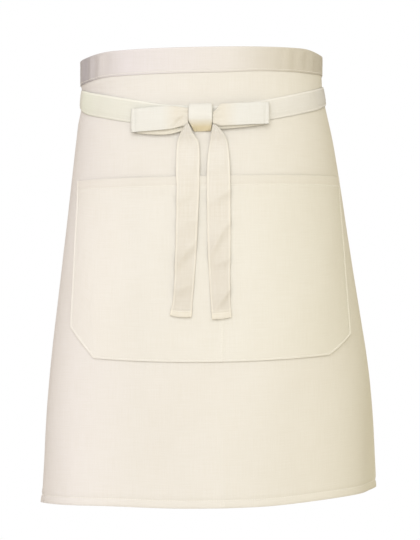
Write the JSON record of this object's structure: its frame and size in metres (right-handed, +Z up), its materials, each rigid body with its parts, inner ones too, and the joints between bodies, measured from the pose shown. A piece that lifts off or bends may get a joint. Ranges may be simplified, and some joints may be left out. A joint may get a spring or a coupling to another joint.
{
  "type": "baker apron",
  "caption": "Cotton waist apron in its worn form: wrapped skirt panel on a folded waistband, wide divided patch pocket with cut corners, and long ties brought round and tied in a front bow.",
  "frame": {"origin": "centre of the waist opening, level with the waistband's top edge, where the apron sits on its wearer", "axes": "+Z up along the wearer's body, -Y to the wearer's front, +X to the wearer's left"},
  "size_m": [0.4599, 0.2625, 0.6079],
  "materials": {
    "panel_cotton": "matte ecru cotton twill",
    "band_cotton": "matte ecru cotton twill, folded",
    "pocket_cotton": "matte ecru cotton twill",
    "tie_cotton": "matte ecru cotton tape, edge-stitched"
  },
  "bodies": {
    "root": {"skirt_panel": "panel_cotton", "waistband": "band_cotton", "pocket": "pocket_cotton", "tie_left": "tie_cotton", "tie_right": "tie_cotton", "knot": "tie_cotton", "bow_loop_right": "tie_cotton", "bow_loop_left": "tie_cotton", "tail_right": "tie_cotton", "tail_left": "tie_cotton"}
  },
  "joints": []
}
